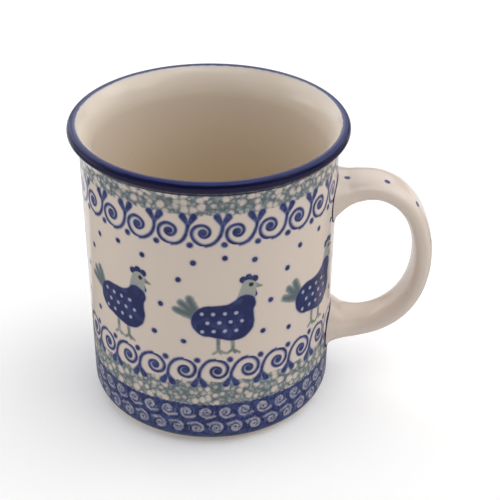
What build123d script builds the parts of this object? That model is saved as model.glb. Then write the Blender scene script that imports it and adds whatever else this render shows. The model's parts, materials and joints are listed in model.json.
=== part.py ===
from build123d import *
import math
import os

# A stoneware mug, millimetres, +Z up. The origin is on the cup's axis in the plane that the foot stands on,
# and the handle is on the +X side. Sizes are those of the finished, glazed surface: the clay lies one glaze
# thickness under it.

# Driving dimensions: the cup
CUP_HEIGHT = 95.0
RIM_RADIUS = 43.0              # outermost point of the rolled lip
LIP_BEAD_RADIUS = 1.8          # the lip is a round bead
WALL_TOP_RADIUS = 39.7         # outside of the wall where the lip starts to flare
WALL_BOTTOM_RADIUS = 38.7      # outside of the wall above the rounded bottom edge
WALL_THICKNESS = 3.8
FLARE_HEIGHT = 8.0             # from the top of the cup down to where the outside starts to flare
THROAT_HEIGHT = 10.0           # from the top of the cup down to where the inside starts to flare
BOTTOM_EDGE_RADIUS = 6.1
FLOOR_HEIGHT = 6.0             # top of the floor above the foot plane
INSIDE_CORNER_RADIUS = 8.0
FOOT_RING_WIDTH = 4.0          # the flat bare ring that the mug stands on
RECESS_DEPTH = 1.6             # hollow of the underside inside the foot ring
RECESS_SLOPE = 1.4             # width of its sloping edge

# Driving dimensions: the glaze and the slip
GLAZE_THICKNESS = 0.3
SLIP_THICKNESS = 0.8           # the clay slip between the wall and each end of the handle
BARE_FOOT_HEIGHT = 1.2         # the glaze stops this far above the foot plane
RIM_BAND_HEIGHT = 4.8          # how far the coloured band reaches down the outside of the lip

# Driving dimensions: the handle's stations, from the top root round to the bottom root. Each one is
# (distance from the cup's axis, height, strap width, strap thickness). The end ones are inside the wall.
HANDLE_STATIONS = (
    (36.6, 71.0, 24.5, 20.1),
    (38.8, 71.3, 21.8, 13.8),
    (42.5, 72.1, 18.6, 8.5),
    (47.0, 73.0, 16.0, 7.2),
    (52.4, 73.0, 15.5, 6.5),
    (58.3, 70.5, 15.4, 6.3),
    (63.1, 65.4, 15.4, 6.1),
    (66.3, 58.0, 15.3, 6.1),
    (67.6, 50.0, 15.2, 6.1),
    (67.2, 42.5, 15.1, 6.0),
    (65.0, 35.1, 14.9, 5.9),
    (60.4, 28.5, 14.6, 6.0),
    (53.5, 24.0, 14.4, 6.3),
    (47.0, 22.5, 15.2, 7.0),
    (42.5, 22.5, 17.4, 8.5),
    (38.7, 22.9, 20.4, 13.6),
    (36.6, 22.9, 22.4, 19.1),
)
SECTION_EXPONENT = 2.5         # 2 is an ellipse, and larger numbers are nearer a rectangle
SECTION_POINTS = 24
HANDLE_MIDDLE_HEIGHT = 48.0    # between the two roots

# Worked out from those
BEAD_CENTRE = (RIM_RADIUS - LIP_BEAD_RADIUS, CUP_HEIGHT - LIP_BEAD_RADIUS)
FOOT_OUTER_RADIUS = WALL_BOTTOM_RADIUS - BOTTOM_EDGE_RADIUS
FOOT_INNER_RADIUS = FOOT_OUTER_RADIUS - FOOT_RING_WIDTH
WALL_FOOT_HEIGHT = BOTTOM_EDGE_RADIUS
BAND_BOTTOM = CUP_HEIGHT - RIM_BAND_HEIGHT
BEYOND = 10.0                  # how far a cutting region reaches past the mug


def quarter_arc(centre, radius, first_angle, last_angle):
    """The arc about centre between two directions in degrees."""
    points = []
    for angle in (first_angle, (first_angle + last_angle) / 2, last_angle):
        turn = math.radians(angle)
        points.append((centre[0] + radius * math.cos(turn), centre[1] + radius * math.sin(turn)))
    return ThreePointArc(*points)


def lip_flare(start, bead_radius, bends_with_bead):
    """The radius of the arc that leaves the wall upright at start and runs smoothly into the lip bead, and
    the direction in degrees, seen from the arc's centre, of the point where it meets the bead."""
    bead = -bead_radius if bends_with_bead else bead_radius
    across = BEAD_CENTRE[0] - start[0]
    up = BEAD_CENTRE[1] - start[1]
    radius = (across ** 2 + up ** 2 - bead ** 2) / (2 * (across + bead))
    return radius, math.degrees(math.atan2(up, across - radius))


def cup_section(inset):
    """Half of the cup cut through its axis, across on X and up on Y. inset is 0 for the finished surface and
    the glaze thickness for the clay under it."""
    bead = LIP_BEAD_RADIUS - inset
    flare_start = (WALL_TOP_RADIUS - inset, CUP_HEIGHT - FLARE_HEIGHT)
    throat_start = (WALL_TOP_RADIUS - WALL_THICKNESS + inset, CUP_HEIGHT - THROAT_HEIGHT)
    flare_radius, flare_angle = lip_flare(flare_start, bead, False)
    throat_radius, throat_angle = lip_flare(throat_start, bead, True)
    flare_centre = (flare_start[0] + flare_radius, flare_start[1])
    throat_centre = (throat_start[0] + throat_radius, throat_start[1])
    corner = INSIDE_CORNER_RADIUS + inset
    floor_height = FLOOR_HEIGHT - inset
    corner_centre = (WALL_BOTTOM_RADIUS - WALL_THICKNESS + inset - corner, floor_height + corner)
    edge_centre = (FOOT_OUTER_RADIUS, WALL_FOOT_HEIGHT)
    ceiling = RECESS_DEPTH + inset

    flare = quarter_arc(flare_centre, flare_radius, 180, flare_angle)
    lip = quarter_arc(BEAD_CENTRE, bead, flare_angle - 180, throat_angle)
    throat = quarter_arc(throat_centre, throat_radius, throat_angle, 180)
    inside_corner = quarter_arc(corner_centre, corner, 0, -90)
    bottom_edge = quarter_arc(edge_centre, BOTTOM_EDGE_RADIUS - inset, -90, 0)
    underside = Polyline((0, ceiling), (FOOT_INNER_RADIUS - RECESS_SLOPE, ceiling), (FOOT_INNER_RADIUS, 0),
                         (FOOT_OUTER_RADIUS, 0))
    outline = underside.edges() + [
        bottom_edge,
        Line(bottom_edge @ 1, flare @ 0),
        flare,
        lip,
        throat,
        Line(throat @ 1, inside_corner @ 0),
        inside_corner,
        Line(inside_corner @ 1, (0, floor_height)),
        Line((0, floor_height), (0, ceiling)),
    ]
    if inset:
        outline.append(Line(underside @ 1, bottom_edge @ 0))
    return make_face(outline)


def region(*corners):
    """A flat region with straight sides, which divides the coat of glaze."""
    return make_face(Polyline(*corners, close=True))


def turned(section):
    """A section drawn across and up, turned into a solid about the cup's axis."""
    return revolve(Plane.XZ * section, Axis.Z, 360)


def glaze_sections(coat):
    """The coat of glaze divided where its colour changes or where it stops, each part by name."""
    wide = RIM_RADIUS + BEYOND
    high = CUP_HEIGHT + BEYOND
    mid_wall = WALL_BOTTOM_RADIUS - WALL_THICKNESS / 2
    mid_floor = (RECESS_DEPTH + FLOOR_HEIGHT) / 2
    mid_corner = (mid_wall - INSIDE_CORNER_RADIUS / 2, mid_floor)
    in_the_lip = (BEAD_CENTRE[0], BEAD_CENTRE[1] - LIP_BEAD_RADIUS / 2)
    under_the_lip = (mid_wall + LIP_BEAD_RADIUS, BAND_BOTTOM)
    wall_line = (in_the_lip, under_the_lip, (mid_wall, BAND_BOTTOM - FLARE_HEIGHT))
    corner_line = ((mid_wall, FLOOR_HEIGHT + INSIDE_CORNER_RADIUS), mid_corner)
    recess_edge = FOOT_INNER_RADIUS - RECESS_SLOPE / 2
    return {
        "rim_band": coat & region(
            (BEAD_CENTRE[0], high), in_the_lip, under_the_lip, (wide, BAND_BOTTOM), (wide, high)),
        "outer_glaze": coat & region(
            (wide, BAND_BOTTOM), *wall_line[1:], *corner_line, (mid_corner[0], BARE_FOOT_HEIGHT),
            (wide, BARE_FOOT_HEIGHT)),
        "inner_glaze": coat & region(
            (BEAD_CENTRE[0], high), *wall_line, *corner_line, (0, mid_floor), (0, high)),
        "underside_glaze": coat & region((0, 0), (recess_edge, 0), (recess_edge, mid_floor), (0, mid_floor)),
    }


def strap_section(station, direction, inset):
    """The strap's cross-section at a station, square to the direction it runs in."""
    across, up, width, thickness = station
    half_width = width / 2 - inset
    half_thickness = thickness / 2 - inset
    points = []
    for step in range(SECTION_POINTS):
        turn = 2 * math.pi * step / SECTION_POINTS
        side, out = math.cos(turn), math.sin(turn)
        points.append((
            math.copysign(abs(side) ** (2 / SECTION_EXPONENT), side) * half_width,
            math.copysign(abs(out) ** (2 / SECTION_EXPONENT), out) * half_thickness,
        ))
    plane = Plane(origin=(across, 0, up), x_dir=(0, 1, 0), z_dir=direction)
    return plane * make_face(Spline(*points, periodic=True))


def strap(inset):
    """The whole handle, from inside the wall at the top to inside the wall at the bottom."""
    centreline = Spline(*[(across, 0, up) for across, up, _, _ in HANDLE_STATIONS])
    sections = []
    for station in HANDLE_STATIONS:
        place = centreline.param_at_point(Vector(station[0], 0, station[1]))
        sections.append(strap_section(station, centreline % place, inset))
    return loft(sections)


def wall_core(grow):
    """Everything inside the straight part of the clay wall's outer surface, moved out by grow."""
    offset_out = grow - GLAZE_THICKNESS
    bottom = (WALL_BOTTOM_RADIUS + offset_out, WALL_FOOT_HEIGHT)
    top = (WALL_TOP_RADIUS + offset_out, CUP_HEIGHT - FLARE_HEIGHT)
    return turned(region((0, bottom[1]), bottom, top, (0, top[1])))


def half_space(above):
    """A block that holds the top half or the bottom half of the handle."""
    size = 2 * CUP_HEIGHT
    centre = HANDLE_MIDDLE_HEIGHT + (size / 2 if above else -size / 2)
    return Pos(0, 0, centre) * Box(size, size, size)


def outside_only(shape, core):
    """What is left of a handle shape outside the wall, as one solid."""
    return (shape - core).solids().sort_by(Axis.X)[-1]


def mug_parts():
    """Every sub-part by name."""
    clay = cup_section(GLAZE_THICKNESS)
    glaze = glaze_sections(cup_section(0) - clay)
    parts = {"body": turned(clay)}
    for name, section in glaze.items():
        parts[name] = turned(section)

    clay_strap = strap(GLAZE_THICKNESS)
    glazed_strap = strap(0)
    slip_core = wall_core(SLIP_THICKNESS)
    slip_ring = slip_core - wall_core(0)
    parts["handle"] = outside_only(clay_strap, slip_core)
    parts["handle_glaze"] = outside_only(glazed_strap - clay_strap, slip_core)
    slip = glazed_strap & slip_ring
    parts["upper_slip_joint"] = slip & half_space(True)
    parts["lower_slip_joint"] = slip & half_space(False)
    parts["outer_glaze"] = parts["outer_glaze"] - glazed_strap
    return parts


os.makedirs("parts", exist_ok=True)
for name, shape in mug_parts().items():
    export_step(shape, f"parts/{name}.step")
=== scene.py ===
import json
import math

import bpy
from mathutils import Matrix, Vector
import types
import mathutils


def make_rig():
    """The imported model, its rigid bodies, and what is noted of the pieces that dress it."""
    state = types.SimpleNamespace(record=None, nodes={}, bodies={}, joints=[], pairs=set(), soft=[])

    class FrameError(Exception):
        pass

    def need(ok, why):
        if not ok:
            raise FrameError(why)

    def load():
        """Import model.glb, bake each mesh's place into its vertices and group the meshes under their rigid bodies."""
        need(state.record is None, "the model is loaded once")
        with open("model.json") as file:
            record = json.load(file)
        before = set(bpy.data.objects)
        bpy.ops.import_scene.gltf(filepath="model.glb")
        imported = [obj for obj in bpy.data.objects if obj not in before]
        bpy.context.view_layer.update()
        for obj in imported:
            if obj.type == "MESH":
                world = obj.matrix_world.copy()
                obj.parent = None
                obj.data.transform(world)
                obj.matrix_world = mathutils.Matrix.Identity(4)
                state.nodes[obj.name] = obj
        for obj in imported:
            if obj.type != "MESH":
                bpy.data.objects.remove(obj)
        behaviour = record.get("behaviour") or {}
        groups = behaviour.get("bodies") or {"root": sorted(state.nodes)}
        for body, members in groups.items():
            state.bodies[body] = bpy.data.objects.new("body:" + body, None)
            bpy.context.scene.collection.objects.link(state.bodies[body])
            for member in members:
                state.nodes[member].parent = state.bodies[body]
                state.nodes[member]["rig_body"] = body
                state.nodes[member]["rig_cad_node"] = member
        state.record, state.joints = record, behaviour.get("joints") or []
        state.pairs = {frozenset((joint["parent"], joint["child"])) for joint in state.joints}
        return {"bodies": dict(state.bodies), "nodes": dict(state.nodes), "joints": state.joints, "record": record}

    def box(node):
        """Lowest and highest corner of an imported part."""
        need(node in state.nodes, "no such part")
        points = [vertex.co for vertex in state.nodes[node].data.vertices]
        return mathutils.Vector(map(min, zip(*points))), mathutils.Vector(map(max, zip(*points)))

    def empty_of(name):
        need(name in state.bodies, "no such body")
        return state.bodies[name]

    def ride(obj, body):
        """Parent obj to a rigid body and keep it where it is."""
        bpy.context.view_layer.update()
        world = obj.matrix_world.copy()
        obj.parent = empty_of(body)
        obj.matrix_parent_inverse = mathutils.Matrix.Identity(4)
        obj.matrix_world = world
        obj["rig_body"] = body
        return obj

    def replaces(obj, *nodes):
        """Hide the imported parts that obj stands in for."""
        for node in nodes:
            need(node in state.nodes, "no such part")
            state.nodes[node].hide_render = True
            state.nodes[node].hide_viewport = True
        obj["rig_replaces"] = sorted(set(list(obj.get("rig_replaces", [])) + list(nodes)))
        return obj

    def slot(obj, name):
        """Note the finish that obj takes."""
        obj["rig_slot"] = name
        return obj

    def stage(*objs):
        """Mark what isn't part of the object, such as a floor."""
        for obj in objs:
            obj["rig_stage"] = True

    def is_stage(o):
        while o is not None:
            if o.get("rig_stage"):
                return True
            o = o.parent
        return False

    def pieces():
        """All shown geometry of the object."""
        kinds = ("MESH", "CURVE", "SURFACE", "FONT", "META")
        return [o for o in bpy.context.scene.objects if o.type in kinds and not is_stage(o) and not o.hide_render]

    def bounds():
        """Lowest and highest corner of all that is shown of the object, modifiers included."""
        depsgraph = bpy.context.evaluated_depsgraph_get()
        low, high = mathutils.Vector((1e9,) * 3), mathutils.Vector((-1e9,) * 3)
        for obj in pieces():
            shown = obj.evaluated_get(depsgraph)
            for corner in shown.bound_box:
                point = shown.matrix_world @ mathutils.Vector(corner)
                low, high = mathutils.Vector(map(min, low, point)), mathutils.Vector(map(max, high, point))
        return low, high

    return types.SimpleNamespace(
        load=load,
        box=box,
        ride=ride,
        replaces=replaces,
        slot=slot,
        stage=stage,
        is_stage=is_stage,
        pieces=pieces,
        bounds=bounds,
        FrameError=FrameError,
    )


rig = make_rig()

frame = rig.load()
cad_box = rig.bounds()

# A decorated stoneware mug. Lengths are in millimetres and angles in degrees until a mesh or a light is made.
# A direction round the cup is an azimuth: 0 is -Y, the side that faces the camera, and 90 is +X, the handle.

MM = 0.001
BODY = "root"

# The cup's shape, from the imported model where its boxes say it
LIP_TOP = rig.box("rim_band")[1].z / MM
LIP_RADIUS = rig.box("rim_band")[1].y / MM
BAND_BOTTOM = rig.box("rim_band")[0].z / MM
GLAZE_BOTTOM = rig.box("outer_glaze")[0].z / MM
FLOOR_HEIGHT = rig.box("inner_glaze")[0].z / MM + 0.3
GLAZE_THICKNESS = 0.3
BEAD_RADIUS = 1.8
WALL_TOP_RADIUS = 39.7
WALL_BOTTOM_RADIUS = 38.7
WALL_THICKNESS = 3.8
FLARE_START = LIP_TOP - 8.0
THROAT_START = LIP_TOP - 10.0
BOTTOM_EDGE_RADIUS = 6.1
INSIDE_CORNER_RADIUS = 8.0
BEAD_CENTRE = (LIP_RADIUS - BEAD_RADIUS, LIP_TOP - BEAD_RADIUS)

# The strap's stations, as in the frame: distance out, height, width, thickness
STRAP_STATIONS = (
    (36.6, 71.0, 24.5, 20.1),
    (38.8, 71.3, 21.8, 13.8),
    (42.5, 72.1, 18.6, 8.5),
    (47.0, 73.0, 16.0, 7.2),
    (52.4, 73.0, 15.5, 6.5),
    (58.3, 70.5, 15.4, 6.3),
    (63.1, 65.4, 15.4, 6.1),
    (66.3, 58.0, 15.3, 6.1),
    (67.6, 50.0, 15.2, 6.1),
    (67.2, 42.5, 15.1, 6.0),
    (65.0, 35.1, 14.9, 5.9),
    (60.4, 28.5, 14.6, 6.0),
    (53.5, 24.0, 14.4, 6.3),
    (47.0, 22.5, 15.2, 7.0),
    (42.5, 22.5, 17.4, 8.5),
    (38.7, 22.9, 20.4, 13.6),
    (36.6, 22.9, 22.4, 19.1),
)
SECTION_EXPONENT = 2.5


# ---------------------------------------------------------------- meshes

def make_piece(name, points, faces, replaced, slot, smooth_below=50):
    """A mesh piece from points in millimetres, which rides on the mug and stands for the replaced nodes."""
    mesh = bpy.data.meshes.new(name)
    mesh.from_pydata([Vector(point) * MM for point in points], [], faces)
    mesh.update()
    mesh.shade_smooth()
    mesh.set_sharp_from_angle(angle=math.radians(smooth_below))
    piece = bpy.data.objects.new(name, mesh)
    bpy.context.scene.collection.objects.link(piece)
    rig.ride(piece, BODY)
    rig.replaces(piece, *replaced)
    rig.slot(piece, slot)
    return piece


def arc(centre, radius, first, last, steps):
    """Points along an arc between two directions in degrees."""
    points = []
    for step in range(steps + 1):
        turn = math.radians(first + (last - first) * step / steps)
        points.append((centre[0] + radius * math.cos(turn), centre[1] + radius * math.sin(turn)))
    return points


def straight(start, end, steps):
    """Points evenly spaced from start to end."""
    return [
        (start[0] + (end[0] - start[0]) * step / steps, start[1] + (end[1] - start[1]) * step / steps)
        for step in range(steps + 1)
    ]


def lip_flare(start, bead):
    """The radius of the arc that leaves the wall upright at start and runs smoothly into the lip bead, and
    the direction of the place where they meet. bead is negative where the bead lies inside that arc."""
    across, up = BEAD_CENTRE[0] - start[0], BEAD_CENTRE[1] - start[1]
    radius = (across ** 2 + up ** 2 - bead ** 2) / (2 * (across + bead))
    return radius, math.degrees(math.atan2(up, across - radius))


def joined(*runs):
    """Several runs of points as one, without the doubled points where they meet."""
    points = []
    for run in runs:
        points += run if not points else run[1:]
    return points


def outside_outline():
    """The outside of the cup from the foot to the crest of the lip, as (radius, height)."""
    start = (WALL_TOP_RADIUS, FLARE_START)
    radius, angle = lip_flare(start, BEAD_RADIUS)
    edge_centre = (WALL_BOTTOM_RADIUS - BOTTOM_EDGE_RADIUS, BOTTOM_EDGE_RADIUS)
    return joined(
        arc(edge_centre, BOTTOM_EDGE_RADIUS, -80, 0, 24),
        straight((WALL_BOTTOM_RADIUS, BOTTOM_EDGE_RADIUS), (wall_radius(FRIEZE_BOTTOM), FRIEZE_BOTTOM), 12),
        straight((wall_radius(FRIEZE_BOTTOM), FRIEZE_BOTTOM), (wall_radius(FRIEZE_TOP), FRIEZE_TOP), 16),
        straight((wall_radius(FRIEZE_TOP), FRIEZE_TOP), start, 6),
        arc((start[0] + radius, start[1]), radius, 180, angle, 30),
        arc(BEAD_CENTRE, BEAD_RADIUS, angle - 180, 90, 30),
    )


def inside_outline():
    """The inside of the cup from the crest of the lip to the middle of the floor."""
    start = (WALL_TOP_RADIUS - WALL_THICKNESS, THROAT_START)
    radius, angle = lip_flare(start, -BEAD_RADIUS)
    bottom_radius = WALL_BOTTOM_RADIUS - WALL_THICKNESS
    corner_centre = (bottom_radius - INSIDE_CORNER_RADIUS, FLOOR_HEIGHT + INSIDE_CORNER_RADIUS)
    return joined(
        arc(BEAD_CENTRE, BEAD_RADIUS, 90, angle, 10),
        arc((start[0] + radius, start[1]), radius, angle, 180, 30),
        straight(start, (bottom_radius, corner_centre[1]), 24),
        arc(corner_centre, INSIDE_CORNER_RADIUS, 0, -90, 24),
        straight((corner_centre[0], FLOOR_HEIGHT), (0, FLOOR_HEIGHT), 8),
    )


def between(outline, low, high):
    """The part of an outline that runs upward from one height to another."""
    kept = []
    for point, after in zip(outline, outline[1:] + outline[-1:]):
        if low <= point[1] <= high:
            kept.append(point)
        for height in (low, high):
            if point[1] < height < after[1]:
                share = (height - point[1]) / (after[1] - point[1])
                kept.append((point[0] + (after[0] - point[0]) * share, height))
    return kept


def coat_loop(face):
    """A coat of glaze in section: its outer face and the hidden face against the clay."""
    back = []
    for place, point in enumerate(face):
        before, after = face[max(place - 1, 0)], face[min(place + 1, len(face) - 1)]
        along = Vector((after[0] - before[0], after[1] - before[1])).normalized()
        back.append((point[0] - along.y * GLAZE_THICKNESS, point[1] + along.x * GLAZE_THICKNESS))
    return face + back[::-1]


def thrown(azimuth, height):
    """How far the wall stands out from a true circle, as a hand-finished wall does."""
    turn = math.radians(azimuth)
    return (
        0.07 * math.sin(2 * turn + 0.7)
        + 0.045 * math.sin(3 * turn + 2.1 + height / 30)
        + 0.02 * math.sin(5 * turn - height / 17)
    )


def turned(loop, closed, segments=360):
    """Turns a section about the cup's axis. A point at radius 0 becomes one shared point."""
    points, rings, faces = [], [], []
    for radius, height in loop:
        if radius < 1e-6:
            points.append((0, 0, height))
            rings.append([len(points) - 1] * segments)
            continue
        ring = []
        for segment in range(segments):
            azimuth = 360 * segment / segments
            out = radius + thrown(azimuth, height)
            turn = math.radians(azimuth)
            points.append((out * math.sin(turn), -out * math.cos(turn), height))
            ring.append(len(points) - 1)
        rings.append(ring)
    pairs = list(zip(rings, rings[1:]))
    if closed:
        pairs.append((rings[-1], rings[0]))
    for lower, upper in pairs:
        for segment in range(segments):
            after = (segment + 1) % segments
            face = [lower[segment], lower[after], upper[after], upper[segment]]
            face = [index for place, index in enumerate(face) if index != face[place - 1]]
            if len(face) > 2:
                faces.append(face)
    return points, faces


def through(rows, position):
    """A smooth curve through rows of numbers, at a position counted in rows."""
    last = len(rows) - 1
    place = min(int(position), last - 1)
    share = position - place

    def gap(index):
        return math.dist(rows[index][:2], rows[index + 1][:2])

    def slope(index, item):
        if index == 0 or index == last:
            other = 1 if index == 0 else last - 1
            return (rows[other][item] - rows[index][item]) / (gap(min(index, other)) * (other - index))
        before, after = gap(index - 1), gap(index)
        rise_before = (rows[index][item] - rows[index - 1][item]) / before
        rise_after = (rows[index + 1][item] - rows[index][item]) / after
        return (rise_before * after + rise_after * before) / (before + after)

    length = gap(place)
    values = []
    for item in range(len(rows[0])):
        start, end = rows[place][item], rows[place + 1][item]
        lead_out, lead_in = slope(place, item) * length, slope(place + 1, item) * length
        values.append(
            (2 * share ** 3 - 3 * share ** 2 + 1) * start
            + (share ** 3 - 2 * share ** 2 + share) * lead_out
            + (3 * share ** 2 - 2 * share ** 3) * end
            + (share ** 3 - share ** 2) * lead_in
        )
    return values


def strap_point(position, turn):
    """A point of the strap's surface. position counts stations from the top root, and turn goes round the
    section in degrees: 0 is the side that faces -Y and 90 is outward."""
    out, up, width, thickness = through(STRAP_STATIONS, position)
    ahead = through(STRAP_STATIONS, min(position + 0.01, len(STRAP_STATIONS) - 1))
    behind = through(STRAP_STATIONS, max(position - 0.01, 0))
    along = Vector((ahead[0] - behind[0], ahead[1] - behind[1])).normalized()
    outward = Vector((-along.y, along.x))
    side, face = math.cos(math.radians(turn)), math.sin(math.radians(turn))
    power = 2 / SECTION_EXPONENT
    side = math.copysign(abs(side) ** power, side) * width / 2
    face = math.copysign(abs(face) ** power, face) * thickness / 2
    return Vector((out + outward.x * face, -side, up + outward.y * face))


def wall_radius(height):
    """The outside radius of the straight wall at a height."""
    share = (height - BOTTOM_EDGE_RADIUS) / (FLARE_START - BOTTOM_EDGE_RADIUS)
    return WALL_BOTTOM_RADIUS + (WALL_TOP_RADIUS - WALL_BOTTOM_RADIUS) * share


def wall_meeting(turn, first, last, sunk):
    """The strap position, between first inside the wall and last outside it, where the surface line at
    turn is sunk millimetres under the wall."""
    for _ in range(30):
        middle = (first + last) / 2
        point = strap_point(middle, turn)
        if math.hypot(point.x, point.y) < wall_radius(point.z) - sunk:
            first = middle
        else:
            last = middle
    return (first + last) / 2


def strap_mesh(around=72, rows=150, sunk=0.15):
    """The strap as a closed solid whose ends follow the wall."""
    last_station = len(STRAP_STATIONS) - 1
    points, faces = [], []
    turns = [360 * index / around for index in range(around)]
    starts = [wall_meeting(turn, 0, 2.5, sunk) for turn in turns]
    ends = [wall_meeting(turn, last_station, last_station - 2.5, sunk) for turn in turns]
    for row in range(rows + 1):
        share = row / rows
        for index, turn in enumerate(turns):
            points.append(strap_point(starts[index] + (ends[index] - starts[index]) * share, turn))
    for row in range(rows):
        for index in range(around):
            after = (index + 1) % around
            low, high = row * around, (row + 1) * around
            faces.append((low + index, high + index, high + after, low + after))
    for row in (0, rows):
        ring = points[row * around:(row + 1) * around]
        points.append(sum(ring, Vector()) / around)
        for index in range(around):
            after = (index + 1) % around
            face = (row * around + index, row * around + after, len(points) - 1)
            faces.append(face if row == 0 else face[::-1])
    return points, faces


def ring_bead(upper, around=144, section=12, width=1.1, height=0.62):
    """The bead of slip and colour round one of the strap's ends, as a closed ring."""
    last_station = len(STRAP_STATIONS) - 1
    inside, outside = (0, 2.5) if upper else (last_station, last_station - 2.5)
    path = []
    for index in range(around):
        turn = 360 * index / around
        point = strap_point(wall_meeting(turn, inside, outside, 0), turn)
        path.append(point)
    points, faces = [], []
    for index, point in enumerate(path):
        along = (path[(index + 1) % around] - path[index - 1]).normalized()
        out = Vector((point.x, point.y, 0)).normalized()
        across = along.cross(out).normalized()
        for step in range(section):
            turn = 2 * math.pi * step / section
            swell = 1 + 0.12 * math.sin(5 * 2 * math.pi * index / around + 1)
            sideways = across * math.cos(turn) * width / 2 * swell
            points.append(point + sideways + out * math.sin(turn) * height / 2)
    for index in range(around):
        for step in range(section):
            low, high = index * section, (index + 1) % around * section
            after = (step + 1) % section
            faces.append((low + step, high + step, high + after, low + after))
    return points, faces


# ---------------------------------------------------------------- painting with shader nodes

class Value:
    """A socket of a material's node tree that takes part in ordinary arithmetic: each step adds a node."""

    def __init__(self, socket):
        self.socket = socket
        self.tree = socket.id_data

    def math(self, operation, *others, clamp=False):
        """clamp keeps the result between 0 and 1. It is a node of its own, because Cycles works a Math
        node's own clamp out last, and a long painting then needs more values at once than it can hold."""
        result = add_node(self.tree, "Math", self, *others, operation=operation)
        return add_node(self.tree, "Clamp", result, 0.0, 1.0) if clamp else result

    def vector(self, operation, *others, output=0):
        return add_node(self.tree, "VectorMath", self, *others, operation=operation, output=output)

    def __add__(self, other):
        return self.math("ADD", other)

    def __sub__(self, other):
        return self.math("SUBTRACT", other)

    def __rsub__(self, other):
        return add_node(self.tree, "Math", other, self, operation="SUBTRACT")

    def __mul__(self, other):
        return self.math("MULTIPLY", other)

    def __truediv__(self, other):
        return self.math("DIVIDE", other)

    __radd__ = __add__
    __rmul__ = __mul__


def add_node(tree, kind, *inputs, output=0, **settings):
    """Adds a node with its inputs in order, each a Value, a plain number or vector, or None."""
    node = tree.nodes.new("ShaderNode" + kind)
    for name, setting in settings.items():
        setattr(node, name, setting)
    for place, item in enumerate(inputs):
        if isinstance(item, Value):
            tree.links.new(item.socket, node.inputs[place])
        elif item is not None:
            node.inputs[place].default_value = item
    return Value(node.outputs[output])


def union(shapes):
    """The distance to the nearest of several shapes."""
    nearest = None
    for shape in shapes:
        nearest = shape if nearest is None else nearest.math("MINIMUM", shape)
    return nearest


def disc(spot, centre, radius):
    """The distance outside a disc. spot is a point of the surface, and all are in millimetres."""
    return spot.vector("DISTANCE", (*centre, 0), output=1) - radius


def stroke(spot, start, end, start_radius, end_radius):
    """The distance outside a brush stroke that tapers from one radius to another."""
    run = (end[0] - start[0], end[1] - start[1])
    squared = run[0] ** 2 + run[1] ** 2
    from_start = spot.vector("SUBTRACT", (*start, 0))
    share = from_start.vector("DOT_PRODUCT", (run[0] / squared, run[1] / squared, 0), output=1)
    share = add_node(spot.tree, "Clamp", share, 0.0, 1.0)
    along = add_node(spot.tree, "VectorMath", (*run, 0), None, None, share, operation="SCALE")
    from_line = from_start.vector("SUBTRACT", along)
    radius = share.math("MULTIPLY_ADD", end_radius - start_radius, start_radius)
    return from_line.vector("LENGTH", output=1) - radius


def strokes(spot, rows):
    """Several strokes, each a row of start, end, start radius and end radius."""
    return union(stroke(spot, *row) for row in rows)


def spiral(spot, centre, size, tightness, outer_radius, inner_radius, half_width):
    """The distance outside a line that winds in to a centre. The log of its radius is
    size + tightness * turn, with turn in radians."""
    from_centre = spot.vector("SUBTRACT", (*centre, 0))
    parts = from_centre.tree.nodes.new("ShaderNodeSeparateXYZ")
    from_centre.tree.links.new(from_centre.socket, parts.inputs[0])
    across, up = Value(parts.outputs[0]), Value(parts.outputs[1])
    radius = from_centre.vector("LENGTH", output=1)
    turn = up.math("ARCTAN2", across)
    excess = radius.math("LOGARITHM", math.e) - turn * tightness
    half_turn = math.pi * tightness
    off_line = excess.math("WRAP", size + half_turn, size - half_turn) - size
    distance = off_line.math("ABSOLUTE") * radius - half_width
    distance = distance.math("MAXIMUM", (radius - outer_radius) * 4)
    return distance.math("MAXIMUM", (inner_radius - radius) * 4)


def inked(shape, softness=0.22):
    """1 inside a shape and 0 outside it, with an edge as soft as glaze leaves it. Half way through the edge
    the paint already looks pale, so the edge lies a little outside the shape."""
    return shape.math("MULTIPLY_ADD", -1 / softness, 0.78, clamp=True)


def channel(colour, index):
    """One channel of a colour."""
    return add_node(colour.tree, "SeparateColor", colour, output=index)


def mix(tree, share, below, above):
    """One colour or Value laid over another."""
    node = tree.nodes.new("ShaderNodeMix")
    node.data_type = "RGBA"
    for name, item in (("Factor_Float", share), ("A_Color", below), ("B_Color", above)):
        socket = next(s for s in node.inputs if s.identifier == name)
        if isinstance(item, Value):
            tree.links.new(item.socket, socket)
        else:
            socket.default_value = item if name == "Factor_Float" else (*item, 1)
    return Value(next(s for s in node.outputs if s.identifier == "Result_Color"))


class Surface:
    """The places and noises that the paints of one material share."""

    def __init__(self, tree):
        self.tree = tree
        coordinates = tree.nodes.new("ShaderNodeTexCoord")
        self.place = Value(coordinates.outputs["Object"]).vector("SCALE", None, None, 1 / MM)
        parts = tree.nodes.new("ShaderNodeSeparateXYZ")
        tree.links.new(self.place.socket, parts.inputs[0])
        self.x, self.y, self.z = (Value(parts.outputs[axis]) for axis in range(3))

    def noise(self, scale, detail=2, roughness=0.5, colour=False, where=None):
        """A noise with features 1 / scale millimetres across."""
        node = self.tree.nodes.new("ShaderNodeTexNoise")
        self.tree.links.new((where or self.place).socket, node.inputs["Vector"])
        node.inputs["Scale"].default_value = scale
        node.inputs["Detail"].default_value = detail
        node.inputs["Roughness"].default_value = roughness
        return Value(node.outputs["Color" if colour else "Fac"])


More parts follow.
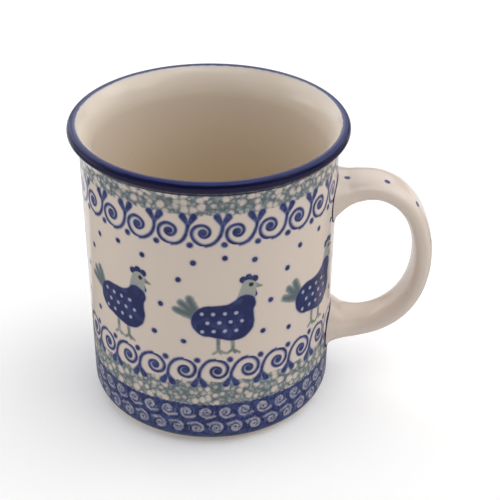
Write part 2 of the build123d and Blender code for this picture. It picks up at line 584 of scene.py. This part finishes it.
WALL_RADIUS = 39.2
CREAM = (0.735, 0.625, 0.545)
CREAM_DEEP = (0.71, 0.60, 0.515)
# The lining's creams: paler at the throat as painted light, yellower and darker at the floor as painted shade.
THROAT_CREAM_PAINTED_LIGHT = (0.76, 0.67, 0.57)
FLOOR_CREAM_PAINTED_SHADE = (0.69, 0.565, 0.405)
SPECK = (0.20, 0.15, 0.11)
COBALT = (0.024, 0.030, 0.110)
COBALT_THIN = (0.058, 0.083, 0.235)
COBALT_WASH = (0.20, 0.27, 0.52)
SAGE = (0.17, 0.215, 0.235)
SAGE_DEEP = (0.09, 0.125, 0.145)
SAGE_PALE = (0.42, 0.43, 0.41)
NECK = (0.34, 0.35, 0.33)
RIM_COBALT = (0.004, 0.005, 0.04)
# The crest's lighter blue is partly glaze breaking thin and partly a painted highlight; the grey-brown low colour
# below is a painted reflection of the floor.
RIM_CREST_THIN_GLAZE_AND_HIGHLIGHT = (0.038, 0.044, 0.13)
RIM_LOW_PAINTED_REFLECTION = (0.026, 0.023, 0.052)
LIP_PAINT_REACH = 0.7
WHITE_DOT = (0.50, 0.53, 0.68)
LEG_DARK = (0.15, 0.18, 0.165)
EYE_DARK = (0.035, 0.03, 0.032)


class WallSurface(Surface):
    """The outside of the wall, unrolled: around runs along it from azimuth 0 and height is above the foot."""

    def __init__(self, tree):
        super().__init__(tree)
        wander = self.noise(0.22, detail=1, colour=True)
        sway, lift = channel(wander, 0) - 0.5, channel(wander, 1) - 0.5
        turn = self.x.math("ARCTAN2", self.y * -1)
        self.around = turn * WALL_RADIUS + sway * 0.6
        self.height = self.z + lift * 0.6


def from_motif(surface, count, first, middle, level, turned_over=False):
    """The spot as seen from the nearest of count equal motifs round the wall. first is the azimuth of one,
    level is its height, and middle is the x of the part to paint, so that the repeats are cut far from it."""
    pitch = 2 * math.pi * WALL_RADIUS / count
    across = surface.around - math.radians(first) * WALL_RADIUS
    up = surface.height - level
    if turned_over:
        across, up = across * -1, up * -1
    across = across.math("WRAP", middle + pitch / 2, middle - pitch / 2)
    return add_node(surface.tree, "CombineXYZ", across, up, 0.0)


def band(surface, low, high):
    """The distance outside a band of the wall between two heights."""
    return (low - surface.height).math("MAXIMUM", surface.height - high)


def cream_ground(surface, thin=CREAM, thick=CREAM_DEEP, share=None):
    """Clear glaze over pale clay: warm cream with faint clouds and a few tiny specks of iron. thin and thick are its
    two colours and share goes from one to the other: glaze lying thin and thick, or in the lining painted light and
    shade."""
    tree = surface.tree
    colour = mix(tree, share or surface.noise(0.045, detail=3), thin, thick)
    cells = tree.nodes.new("ShaderNodeTexVoronoi")
    tree.links.new(surface.place.socket, cells.inputs["Vector"])
    cells.inputs["Scale"].default_value = 0.3
    chance = channel(Value(cells.outputs["Color"]), 0).math("POWER", 9)
    speck = (chance * 0.075 - Value(cells.outputs["Distance"])).math("MULTIPLY", 45, clamp=True)
    return mix(tree, speck * 0.75, colour, SPECK)


def brushed(surface, ground, shape, ink=COBALT, thin=COBALT_THIN, softness=0.24, bleed=0.2, density=None):
    """Colour laid on a ground. It pools or runs thin, and bleeds a little into the glaze round it."""
    tree = surface.tree
    stain = shape.math("MULTIPLY_ADD", -1 / 1.1, 1, clamp=True).math("POWER", 2) * bleed
    stained = mix(tree, stain, ground, COBALT_WASH)
    pigment = mix(tree, density or pooling(surface), thin, ink)
    return mix(tree, inked(shape, softness), stained, pigment)


def pooling(surface, scale=0.55, fullness=0.9):
    """How thickly the colour lies: mostly full, thinner in patches."""
    return (surface.noise(scale, detail=3) - 0.5).math("MULTIPLY_ADD", 2.6, fullness, clamp=True)


def toward(start, degrees, reach):
    """The point at a distance from start in a direction."""
    turn = math.radians(degrees)
    return (start[0] + reach * math.cos(turn), start[1] + reach * math.sin(turn))


# A plain running scroll, in millimetres: x along the border and y up
SCROLLS = 25
SCROLL_CENTRE = (-2.0, -2.2)
SCROLL_REACH = 4.3
SCROLL_TIGHTNESS = 0.17
SCROLL_HUB = 0.95
SCROLL_END = math.atan(SCROLL_TIGHTNESS) - math.pi / 2  # the turn at which the spiral is lowest
STEM_TIP = (3.6, 0.2)
STEM_STEPS = 6
SCROLL_LEAF = ((STEM_TIP, (2.0, 3.0), 0.4, 0.95), (STEM_TIP, (5.2, 3.0), 0.4, 0.95))
SCROLL_DOT = ((4.0, -6.3), 0.8)


def scroll_stem(spot):
    """A stem that leaves a spiral at the bottom and rises in a quarter of an ellipse."""
    foot = toward(SCROLL_CENTRE, math.degrees(SCROLL_END), SCROLL_REACH)
    width, height = STEM_TIP[0] - foot[0], STEM_TIP[1] - foot[1]
    points = []
    for step in range(STEM_STEPS + 1):
        turn = math.pi / 2 * step / STEM_STEPS
        points.append((foot[0] + width * math.sin(turn), foot[1] + height * (1 - math.cos(turn))))
    for start, end in zip(points, points[1:]):
        yield stroke(spot, start, end, 0.38, 0.38)


def scroll_shapes(spot, stem_spot):
    """One spiral of a border, with the stem that runs from under it to the leaves beside the next."""
    size = math.log(SCROLL_REACH) - SCROLL_TIGHTNESS * SCROLL_END
    yield spiral(spot, SCROLL_CENTRE, size, SCROLL_TIGHTNESS, SCROLL_REACH, SCROLL_HUB - 0.1, 0.38)
    yield disc(spot, SCROLL_CENTRE, SCROLL_HUB)
    yield union(scroll_stem(stem_spot))
    yield disc(stem_spot, *SCROLL_DOT)


def scroll_border(surface, ground, first, level, turned_over=False):
    """A border of cobalt scrolls, with a pair of leaves in thinner colour on each stem."""
    spot = from_motif(surface, SCROLLS, first, SCROLL_CENTRE[0], level, turned_over)
    stem_spot = from_motif(surface, SCROLLS, first, 1.9, level, turned_over)
    leaf = strokes(stem_spot, SCROLL_LEAF)
    painted = brushed(surface, ground, leaf, softness=0.6, bleed=0.45, density=pooling(surface, 0.8, 0.55))
    scrolls = union(scroll_shapes(spot, stem_spot))
    return brushed(surface, painted, scrolls, softness=0.6, bleed=0.5, density=pooling(surface, 0.55, 0.6))


def lace(surface, ground, shape, holes):
    """A sponged band of grey-green with pale holes, each with a darker line round it."""
    tree = surface.tree
    cells = tree.nodes.new("ShaderNodeTexVoronoi")
    tree.links.new(surface.place.socket, cells.inputs["Vector"])
    cells.inputs["Scale"].default_value = 0.7
    netting = (Value(cells.outputs["Distance"]) - 0.36).math("MULTIPLY", 3.4, clamp=True)
    sponge = mix(tree, netting, SAGE_PALE, SAGE)
    clouds = (surface.noise(0.8, detail=3) - 0.47).math("MULTIPLY", 5, clamp=True)
    sponge = mix(tree, clouds * 0.7, sponge, SAGE_DEEP)
    worn = holes + (surface.noise(0.8, detail=1) - 0.5) * 0.5
    outline = (worn - 0.3).math("ABSOLUTE").math("MULTIPLY_ADD", -1 / 0.55, 1, clamp=True)
    sponge = mix(tree, outline * 0.8, sponge, SAGE_DEEP)
    sponge = mix(tree, inked(worn + 0.3, 0.95) * 0.85, sponge, CREAM)
    rough_edge = shape + (surface.noise(0.9, detail=2) - 0.5) * 1.6
    return mix(tree, inked(rough_edge, 0.5), ground, sponge)


def bubbles(surface):
    """The distance outside round holes of many sizes, scattered as a natural sponge leaves them."""
    cells = surface.tree.nodes.new("ShaderNodeTexVoronoi")
    surface.tree.links.new(surface.place.socket, cells.inputs["Vector"])
    cells.inputs["Scale"].default_value = 0.42
    cells.inputs["Randomness"].default_value = 0.8
    size = channel(Value(cells.outputs["Color"]), 0).math("MULTIPLY_ADD", 0.7, 0.65)
    return Value(cells.outputs["Distance"]) * (1 / 0.42) - size


def upper_lace(surface, ground):
    """The sponged band under the lip."""
    return lace(surface, ground, band(surface, 83.7, LIP_TOP), bubbles(surface))


def lower_lace(surface, ground):
    """The sponged band over the base."""
    return lace(surface, ground, band(surface, 16.2, 24.8), bubbles(surface))


# The base: two rows of pale spirals in a sponged cobalt band
BASE_CURLS = 40
BASE_ROWS = ((13.0, 0.0, False), (6.7, 4.5, True))  # height, first azimuth, and whether it is turned over
CURL_REACH = 2.3
CURL_TIGHTNESS = 0.17


def base_shapes(surface):
    """A spiral with a short tail for each curl of the base."""
    size = math.log(CURL_REACH) + CURL_TIGHTNESS * math.pi / 2
    for level, first, turned_over in BASE_ROWS:
        spot = from_motif(surface, BASE_CURLS, first, 0.0, level, turned_over)
        yield spiral(spot, (0.0, 0.0), size, CURL_TIGHTNESS, CURL_REACH + 0.1, 0.4, 0.27)
        yield stroke(spot, (0.0, -CURL_REACH), (2.7, -1.5), 0.27, 0.2)


def base_band(surface, ground):
    """The sponged cobalt of the base, dark in patches, with pale curls in two rows."""
    tree = surface.tree
    sponge = mix(tree, pooling(surface, 0.5, 0.55), COBALT_THIN, COBALT)
    grain = (surface.noise(1.0, detail=3) - 0.5).math("MULTIPLY", 6, clamp=True) * 0.8
    sponge = mix(tree, grain, sponge, (0.016, 0.02, 0.068))
    worn = (surface.noise(1.1, detail=2) - 0.5) * 1.0
    faint = surface.noise(0.7, detail=2).math("MULTIPLY_ADD", 2.2, -0.3, clamp=True)
    curls = union(base_shapes(surface)) + worn
    sponge = mix(tree, inked(curls + 0.04, 0.7) * faint * 0.85, sponge, (0.50, 0.48, 0.53))
    edge = band(surface, 1.6, 16.9) + (surface.noise(0.4, detail=2) - 0.5) * 2.0
    return mix(tree, inked(edge, 0.5), ground, sponge)


# A hen in plain profile that faces along +x, in millimetres: x from its middle and y above the mug's foot
HENS = 7
HEN_SPACING = 49.2
HANDLE_AZIMUTH = 90
BODY_STROKES = (
    ((-4.4, 47.2), (2.6, 46.4), 5.4, 6.4),
    ((3.0, 48.0), (6.2, 52.6), 5.0, 3.2),
)
NECK_STROKE = ((6.2, 53.4), (7.2, 58.6), 2.9, 2.25)
HEAD = (7.3, 58.8)
EYE = (7.9, 59.2)
BEAK = ((9.2, 58.7), (11.3, 58.0), 0.85, 0.15)
WATTLE = ((8.9, 56.6), (9.0, 55.5), 0.55, 0.85)
COMB_DIRECTIONS = (130, 92, 54)
COMB_REACH = 2.9
TAIL_ROOT = (-8.4, 49.2)
TAIL_DIRECTIONS = (108, 136, 164)
TAIL_REACH = 6.2
LEG_PLACES = (-1.8, 2.4)
LEG_TOP, ANKLE, GROUND = 41.0, 36.6, 35.4
TOES = (-1.6, 0.8, 2.2)
DOT_SPACING = 3.4
LOOSE_DOT_RADIUS = 0.77
LOOSE_DOTS = (
    (-9.0, 67.6), (0.0, 69.2), (9.0, 67.6), (-13.6, 61.4), (14.4, 52.0), (12.0, 41.6), (-12.4, 39.6),
)


def tail_feathers(spot):
    """Three feathers that fan out from the rump."""
    for degrees in TAIL_DIRECTIONS:
        yield stroke(spot, TAIL_ROOT, toward(TAIL_ROOT, degrees, TAIL_REACH), 1.9, 1.15)


def crest_shapes(spot):
    """The three round lobes of the comb, and the wattle."""
    for degrees in COMB_DIRECTIONS:
        yield disc(spot, toward(HEAD, degrees, COMB_REACH), 1.1)
    yield stroke(spot, *WATTLE)


def leg_shapes(spot):
    """Two legs with three toes each."""
    for place in LEG_PLACES:
        yield stroke(spot, (place, LEG_TOP), (place, ANKLE), 0.5, 0.42)
        for toe in TOES:
            yield stroke(spot, (place, ANKLE), (place + toe, GROUND), 0.38, 0.26)


def pale_dots(spot):
    """Pale dots on the body, in even rows that are set half a space apart."""
    for row in range(3):
        for column in range(4):
            across = (column - 1.5 + 0.5 * (row % 2)) * DOT_SPACING - 1.6
            yield disc(spot, (across, 43.6 + row * 3.1), 0.42)


def from_hen(surface):
    """The spot as seen from the nearest hen. Behind the handle, where none is painted, it is far away."""
    millimetres = math.radians(1) * WALL_RADIUS
    pitch = HEN_SPACING * millimetres
    gap = (360 - HENS * HEN_SPACING) / 2
    start = (HANDLE_AZIMUTH + gap) * millimetres
    along = (surface.around - start).math("WRAP", 360 * millimetres, 0.0)
    behind = along.math("GREATER_THAN", HENS * pitch) * 500
    across = along.math("WRAP", pitch, 0.0) - pitch / 2 + behind
    return add_node(surface.tree, "CombineXYZ", across, surface.height, 0.0)


def hen_body(surface, spot):
    """The body and breast as one smooth shape with an uneven edge."""
    body, breast = (stroke(spot, *row) for row in BODY_STROKES)
    return body.math("SMOOTH_MIN", breast, 2.0) + (surface.noise(0.6, detail=2) - 0.5) * 0.4


def hen_frieze(surface, ground):
    """Hens in a row with loose dots between them."""
    tree = surface.tree
    spot = from_hen(surface)
    dots = union(disc(spot, place, LOOSE_DOT_RADIUS) for place in LOOSE_DOTS)
    colour = brushed(surface, ground, dots, softness=0.45, bleed=0.4, density=pooling(surface, 0.5, 0.7))
    soft = pooling(surface, 0.4, 0.6)
    legs = union((*leg_shapes(spot), stroke(spot, *BEAK)))
    colour = brushed(surface, colour, legs, LEG_DARK, NECK, 0.6, 0.0, soft)
    tail = union(tail_feathers(spot)) + (surface.noise(0.7, detail=2) - 0.5) * 0.6
    deep = tail.math("MULTIPLY_ADD", -0.75, 0.25, clamp=True)
    colour = brushed(surface, colour, tail, (0.12, 0.15, 0.16), (0.30, 0.33, 0.32), 0.7, 0.0, deep)
    colour = brushed(surface, colour, union(crest_shapes(spot)), softness=0.34, bleed=0.3)
    neck = stroke(spot, *NECK_STROKE)
    colour = brushed(surface, colour, neck, NECK, (0.38, 0.385, 0.355), 0.35, 0.05, soft)
    body = hen_body(surface, spot)
    colour = brushed(surface, colour, body, softness=0.5, bleed=0.4, density=pooling(surface, 0.3, 1.0))
    colour = brushed(surface, colour, disc(spot, EYE, 0.62), EYE_DARK, EYE_DARK, 0.4, 0.0)
    return mix(tree, inked(union(pale_dots(spot)), 0.5) * 0.82, colour, WHITE_DOT)


# ---------------------------------------------------------------- materials

def new_material(name):
    """A new material with its node tree and its shader."""
    material = bpy.data.materials.new(name)
    material.use_nodes = True
    shader = material.node_tree.nodes["Principled BSDF"]
    return material, material.node_tree, shader


def finish_glaze(surface, shader, colour, roughness=0.14, ripple=0.05):
    """Glassy glaze: uneven gloss, slow ripples, and a fine skin like orange peel."""
    tree = surface.tree
    tree.links.new(colour.socket, shader.inputs["Base Color"])
    gloss = surface.noise(0.11, detail=3).math("MULTIPLY_ADD", 0.1, roughness - 0.03)
    tree.links.new(gloss.socket, shader.inputs["Roughness"])
    shader.inputs["IOR"].default_value = 1.5
    height = surface.noise(0.07, detail=2) * ripple + surface.noise(0.9, detail=2) * (ripple * 0.06)
    bump = tree.nodes.new("ShaderNodeBump")
    bump.inputs["Strength"].default_value = 1.0
    bump.inputs["Distance"].default_value = MM
    tree.links.new(height.socket, bump.inputs["Height"])
    tree.links.new(bump.outputs["Normal"], shader.inputs["Normal"])


def wall_material(name, *paints):
    """The outside of the wall in one zone: cream ground, then each paint in turn."""
    material, tree, shader = new_material(name)
    surface = WallSurface(tree)
    colour = cream_ground(surface)
    for paint in paints:
        colour = paint(surface, colour)
    finish_glaze(surface, shader, colour)
    return material


def lining_material():
    """The inside of the cup: its cream is painted paler near the lip as painted light, and yellower and darker low
    down as painted shade.
    """
    material, tree, shader = new_material("lining_glaze")
    surface = Surface(tree)
    # Painted shade: the cream darkens and yellows with depth inside the cup.
    painted_shade_depth = surface.z.math("MULTIPLY_ADD", -1 / 40, THROAT_START / 40, clamp=True)
    colour = lip_stain(surface, cream_ground(surface, THROAT_CREAM_PAINTED_LIGHT, FLOOR_CREAM_PAINTED_SHADE, painted_shade_depth))
    finish_glaze(surface, shader, colour)
    return material


def clear_glaze_material(name, paint=None):
    """Clear glaze over pale clay, with anything painted under it."""
    material, tree, shader = new_material(name)
    surface = Surface(tree)
    colour = cream_ground(surface)
    if paint:
        colour = paint(surface, colour)
    finish_glaze(surface, shader, colour)
    return material


def rim_material():
    """Cobalt glaze on the lip: lighter blue on the crest, partly where the glaze breaks thin and partly a painted
    highlight, and the lower part painted grey-brown as a painted reflection of the floor.
    """
    material, tree, shader = new_material("cobalt_rim_glaze")
    surface = Surface(tree)
    uneven = (surface.noise(0.3, detail=2) - 0.5) * 0.3
    # Painted highlight, partly thin glaze: the crest turns lighter blue.
    crest = (surface.z - LIP_TOP + uneven).math("MULTIPLY_ADD", 3.0, 1.7, clamp=True)
    # Painted reflection: the lower part of the lip turns grey-brown, as if it mirrored the floor.
    low = (surface.z - BEAD_CENTRE[1] + uneven).math("MULTIPLY_ADD", -2.0, 1.5, clamp=True)
    colour = mix(tree, crest, RIM_COBALT, RIM_CREST_THIN_GLAZE_AND_HIGHLIGHT)
    colour = mix(tree, low, colour, RIM_LOW_PAINTED_REFLECTION)
    finish_glaze(surface, shader, colour, roughness=0.12)
    shader.inputs["IOR"].default_value = 1.2
    return material


def lip_stain(surface, ground):
    """The cobalt of the lip, which reaches over the crest to the inside and stops in a soft edge."""
    out = surface.place.vector("MULTIPLY", (1, 1, 0)).vector("LENGTH", output=1)
    inside_edge = BEAD_CENTRE[0] - LIP_PAINT_REACH - out + (surface.noise(0.5, detail=2) - 0.5) * 0.35
    # The colour that reaches over the crest is the crest's own, which is partly a painted highlight.
    return brushed(surface, ground, inside_edge, RIM_CREST_THIN_GLAZE_AND_HIGHLIGHT, RIM_CREST_THIN_GLAZE_AND_HIGHLIGHT, softness=0.4, bleed=0.5)


STRAP_DOT_RADIUS = 0.88
# Where the strap's dots are, in two rows, as (stations from the top root, turn round the section)
STRAP_DOTS = (
    (2.2, 82), (3.6, 146), (4.25, 72), (5.05, 132), (5.8, 66), (6.6, 128), (7.4, 66), (8.2, 128), (9.0, 68),
    (9.85, 128), (10.7, 70), (11.5, 128), (12.4, 72), (13.2, 130), (14.0, 76),
)


def strap_dots(surface, ground):
    """The cobalt dots on the strap."""
    dots = union(
        surface.place.vector("DISTANCE", tuple(strap_point(*place)), output=1) - STRAP_DOT_RADIUS
        for place in STRAP_DOTS
    )
    return brushed(surface, ground, dots, softness=0.3, bleed=0.28)


def bead_paint(surface, ground):
    """The cobalt line drawn round the joint, worn thin in places."""
    return mix(surface.tree, pooling(surface, 0.35, 0.9), COBALT_THIN, RIM_COBALT)


def stoneware_material():
    """Bare fired clay: buff, fine-grained and dull, with darker grit."""
    material, tree, shader = new_material("bare_stoneware")
    surface = Surface(tree)
    colour = mix(tree, surface.noise(0.3, detail=5), (0.40, 0.30, 0.21), (0.58, 0.46, 0.35))
    grit = (surface.noise(3.0, detail=2) - 0.62).math("MULTIPLY", 9, clamp=True)
    colour = mix(tree, grit * 0.6, colour, (0.16, 0.11, 0.08))
    tree.links.new(colour.socket, shader.inputs["Base Color"])
    dull = surface.noise(1.5, detail=2).math("MULTIPLY_ADD", 0.2, 0.65)
    tree.links.new(dull.socket, shader.inputs["Roughness"])
    bump = tree.nodes.new("ShaderNodeBump")
    bump.inputs["Strength"].default_value = 0.8
    bump.inputs["Distance"].default_value = 0.05 * MM
    tree.links.new(surface.noise(2.4, detail=4).socket, bump.inputs["Height"])
    tree.links.new(bump.outputs["Normal"], shader.inputs["Normal"])
    return material


# ---------------------------------------------------------------- the mug

FRIEZE_TOP = 72.0
FRIEZE_BOTTOM = 34.5


def make_wall():
    """The glazed wall. Its three painted zones are separate materials, which keeps each node tree short."""
    face = between(outside_outline(), GLAZE_BOTTOM, BAND_BOTTOM)
    points, faces = turned(coat_loop(face), closed=True)
    wall = make_piece("painted_wall_glaze", points, faces, ["outer_glaze"], "decorated_glaze")
    wall.data.materials.append(wall_material("upper_border_glaze", upper_lace, upper_border))
    wall.data.materials.append(wall_material("hen_frieze_glaze", hen_frieze))
    wall.data.materials.append(wall_material("lower_border_glaze", base_band, lower_lace, lower_border))
    for polygon in wall.data.polygons:
        height = polygon.center.z / MM
        polygon.material_index = 0 if height > FRIEZE_TOP else 1 if height > FRIEZE_BOTTOM else 2


def upper_border(surface, ground):
    """The scrolls under the upper lace."""
    return scroll_border(surface, ground, 2.5, 80.0)


def lower_border(surface, ground):
    """The scrolls over the lower lace, upside down."""
    return scroll_border(surface, ground, 2.15, 26.7, turned_over=True)


def make_lip():
    """The cobalt coat over the lip."""
    face = between(outside_outline(), BAND_BOTTOM, LIP_TOP)
    points, faces = turned(coat_loop(face), closed=True)
    lip = make_piece("cobalt_lip_glaze", points, faces, ["rim_band"], "cobalt_glaze")
    lip.data.materials.append(rim_material())


def make_lining():
    """The coat inside the cup."""
    points, faces = turned(coat_loop(inside_outline()), closed=True)
    lining = make_piece("cup_lining_glaze", points, faces, ["inner_glaze"], "clear_glaze")
    lining.data.materials.append(lining_material())


def make_strap():
    """The handle with its coat of glaze."""
    points, faces = strap_mesh()
    handle = make_piece("glazed_handle", points, faces, ["handle", "handle_glaze"], "clear_glaze")
    handle.data.materials.append(clear_glaze_material("handle_clear_glaze", strap_dots))


def make_beads():
    """The painted bead round each end of the handle."""
    material = clear_glaze_material("joint_line_glaze", bead_paint)
    for name, node, upper in (
        ("upper_joint_bead", "upper_slip_joint", True),
        ("lower_joint_bead", "lower_slip_joint", False),
    ):
        points, faces = ring_bead(upper)
        bead = make_piece(name, points, faces, [node], "slip", smooth_below=80)
        bead.data.materials.append(material)


def give_material(node, material):
    """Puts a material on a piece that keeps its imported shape."""
    for place in frame["nodes"][node].material_slots:
        place.material = material


# ---------------------------------------------------------------- the studio

def make_camera():
    """The camera, in millimetres from the middle of the foot."""
    data = bpy.data.cameras.new("camera")
    data.lens = 93.92
    data.clip_start, data.clip_end = 0.01, 20
    camera = bpy.data.objects.new("camera", data)
    right = Vector((0.99988, 0.01293, 0.00799))
    up = Vector((-0.01353, 0.51755, 0.85555))
    back = right.cross(up)
    camera.matrix_world = Matrix.Translation(Vector((15.623, -357.835, 264.986)) * MM) @ Matrix(
        (right, up, back)).transposed().to_4x4()
    bpy.context.scene.collection.objects.link(camera)
    bpy.context.scene.camera = camera


def make_light(name, place, aim, width, height, radiance):
    """A softbox: a rectangle of light at place that faces aim, both in metres."""
    data = bpy.data.lights.new(name, "AREA")
    data.shape = "RECTANGLE"
    data.size, data.size_y = width, height
    data.energy = radiance * math.pi * width * height
    light = bpy.data.objects.new(name, data)
    light.location = place
    light.rotation_mode = "QUATERNION"
    light.rotation_quaternion = (Vector(aim) - Vector(place)).to_track_quat("-Z", "Y")
    bpy.context.scene.collection.objects.link(light)


def make_floor():
    """The pale paper that the mug stands on."""
    mesh = bpy.data.meshes.new("floor")
    reach = 6
    corners = [(-reach, -reach, 0), (reach, -reach, 0), (reach, reach, 0), (-reach, reach, 0)]
    mesh.from_pydata(corners, [], [(0, 1, 2, 3)])
    floor = bpy.data.objects.new("floor", mesh)
    material, tree, shader = new_material("floor_paper")
    shader.inputs["Base Color"].default_value = (0.93, 0.93, 0.93, 1)
    shader.inputs["Roughness"].default_value = 0.9
    shader.inputs["Emission Color"].default_value = (1, 1, 1, 1)
    shader.inputs["Emission Strength"].default_value = 0.13
    mesh.materials.append(material)
    bpy.context.scene.collection.objects.link(floor)
    floor.visible_glossy = False
    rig.stage(floor)


def make_back_glow():
    """The bright paper behind the mug as the glaze reflects it. Nothing but a reflection sees it."""
    mesh = bpy.data.meshes.new("back_glow")
    corners = [(-0.03, 0.02, 0), (0.03, 0.02, 0), (2.5, 2.5, 0), (-2.5, 2.5, 0), (-2.5, 1.5, 0)]
    mesh.from_pydata(corners, [], [(0, 1, 2, 3, 4)])
    glow = bpy.data.objects.new("back_glow", mesh)
    material, tree, shader = new_material("back_glow_paper")
    shader.inputs["Base Color"].default_value = (0, 0, 0, 1)
    shader.inputs["Emission Color"].default_value = (1, 1, 1, 1)
    shader.inputs["Emission Strength"].default_value = 0.8
    mesh.materials.append(material)
    bpy.context.scene.collection.objects.link(glow)
    for ray in ("camera", "diffuse", "transmission", "volume_scatter", "shadow"):
        setattr(glow, "visible_" + ray, False)
    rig.stage(glow)


SOFTBOXES = (
    # name, place, what it faces, width, height, brightness
    ("left_back", (-1.1, 0.6, 0.55), (0, 0, 0.05), 1.7, 1.6, 1.1),
    ("left_front", (-0.9, -0.6, 0.5), (0, 0, 0.05), 1.0, 1.0, 0.4),
    ("left_low", (-1.2, 0.1, 0.2), (0, 0, 0.05), 0.7, 0.5, 0.8),
    ("right_front", (0.9, -0.6, 0.5), (0, 0, 0.05), 1.0, 1.0, 0.2),
    ("right_back", (1.0, 0.55, 0.5), (0, 0, 0.05), 1.0, 1.0, 0.95),
    ("right_high", (0.7, 0.0, 1.0), (0, 0, 0.05), 1.3, 1.2, 1.5),
    ("back_high", (0.0, 1.2, 1.0), (0, 0, 0.05), 1.8, 1.3, 0.95),
    ("front_high", (0.0, -0.3, 1.3), (0, 0, 0.05), 1.0, 1.0, 1.0),
)


def make_studio():
    """Camera, paper and lights."""
    make_camera()
    make_floor()
    make_back_glow()
    world = bpy.data.worlds.new("studio")
    world.use_nodes = True
    world.node_tree.nodes["Background"].inputs["Color"].default_value = (1, 1, 1, 1)
    world.node_tree.nodes["Background"].inputs["Strength"].default_value = 0.21
    bpy.context.scene.world = world
    bpy.context.scene.view_settings.view_transform = "Standard"
    for row in SOFTBOXES:
        make_light(*row)


make_studio()
make_wall()
make_lip()
make_lining()
make_strap()
make_beads()
give_material("body", stoneware_material())
give_material("underside_glaze", clear_glaze_material("underside_clear_glaze"))

with open("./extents.json", "w") as report:
    for name, box in (("cad", cad_box), ("visual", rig.bounds())):
        print(name, json.dumps([[round(item, 6) for item in corner] for corner in box]), file=report)
